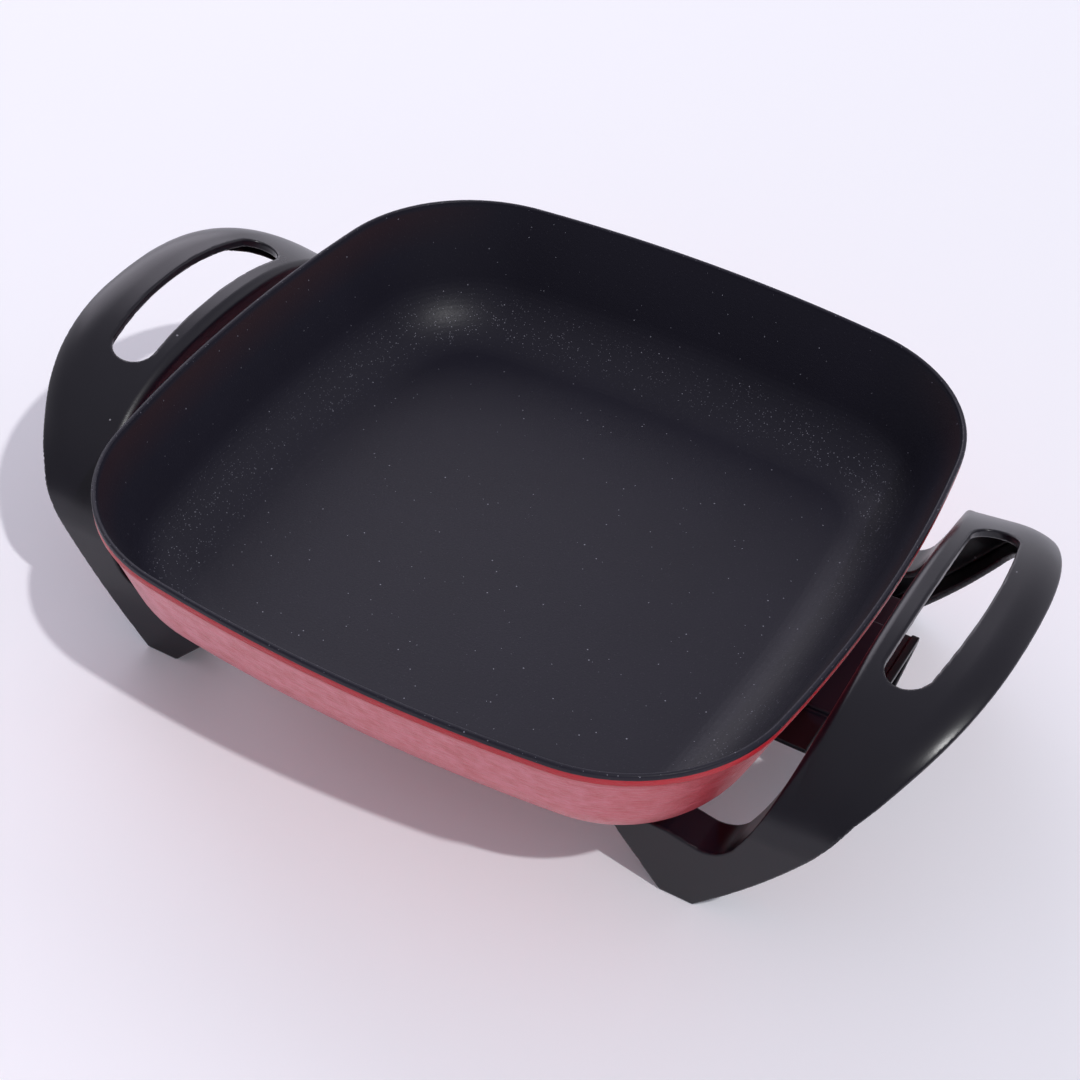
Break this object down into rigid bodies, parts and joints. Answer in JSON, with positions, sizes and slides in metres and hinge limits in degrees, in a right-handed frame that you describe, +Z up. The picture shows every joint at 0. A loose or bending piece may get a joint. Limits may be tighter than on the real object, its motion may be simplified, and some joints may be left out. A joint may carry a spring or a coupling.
{
  "type": "electric skillet",
  "caption": "Square open electric frying pan with a cast-in element, on two slotted side handles that run down as its legs, with a hooded inlet for a probe thermostat.",
  "frame": {"origin": "on the table under the middle of the pan: the bottom centre of the whole part's box", "axes": "+X from the middle of the pan to the thermostat inlet, +Y to the back, +Z up"},
  "size_m": [0.4132, 0.3, 0.1059],
  "materials": {
    "red_enamel": "metallic red enamel, fine brushed mottling, satin gloss",
    "nonstick_black": "charcoal non-stick coating, satin, sparse light flecks",
    "black_plastic": "black moulded heat-resistant plastic, satin gloss",
    "steel": "plain stainless steel",
    "nickel": "nickel-plated steel, satin",
    "ceramic": "unglazed cream ceramic",
    "magnesia": "packed magnesium oxide powder"
  },
  "bodies": {
    "root": {"pan_casting": "red_enamel", "nonstick_coating": "nonstick_black", "element_sheath": "steel", "magnesia_filling": "magnesia", "resistance_wire": "nickel", "terminal_pin_front": "nickel", "terminal_pin_rear": "nickel", "insulator_front": "ceramic", "insulator_rear": "ceramic", "probe_well": "steel", "terminal_plate": "steel", "plate_screw": "nickel", "socket_shroud": "black_plastic", "shroud_screws": "nickel", "shroud_washers": "steel", "left_handle": "black_plastic", "left_handle_screws": "nickel", "left_handle_washers": "steel", "right_handle": "black_plastic", "right_handle_screws": "nickel", "right_handle_washers": "steel"}
  },
  "joints": []
}
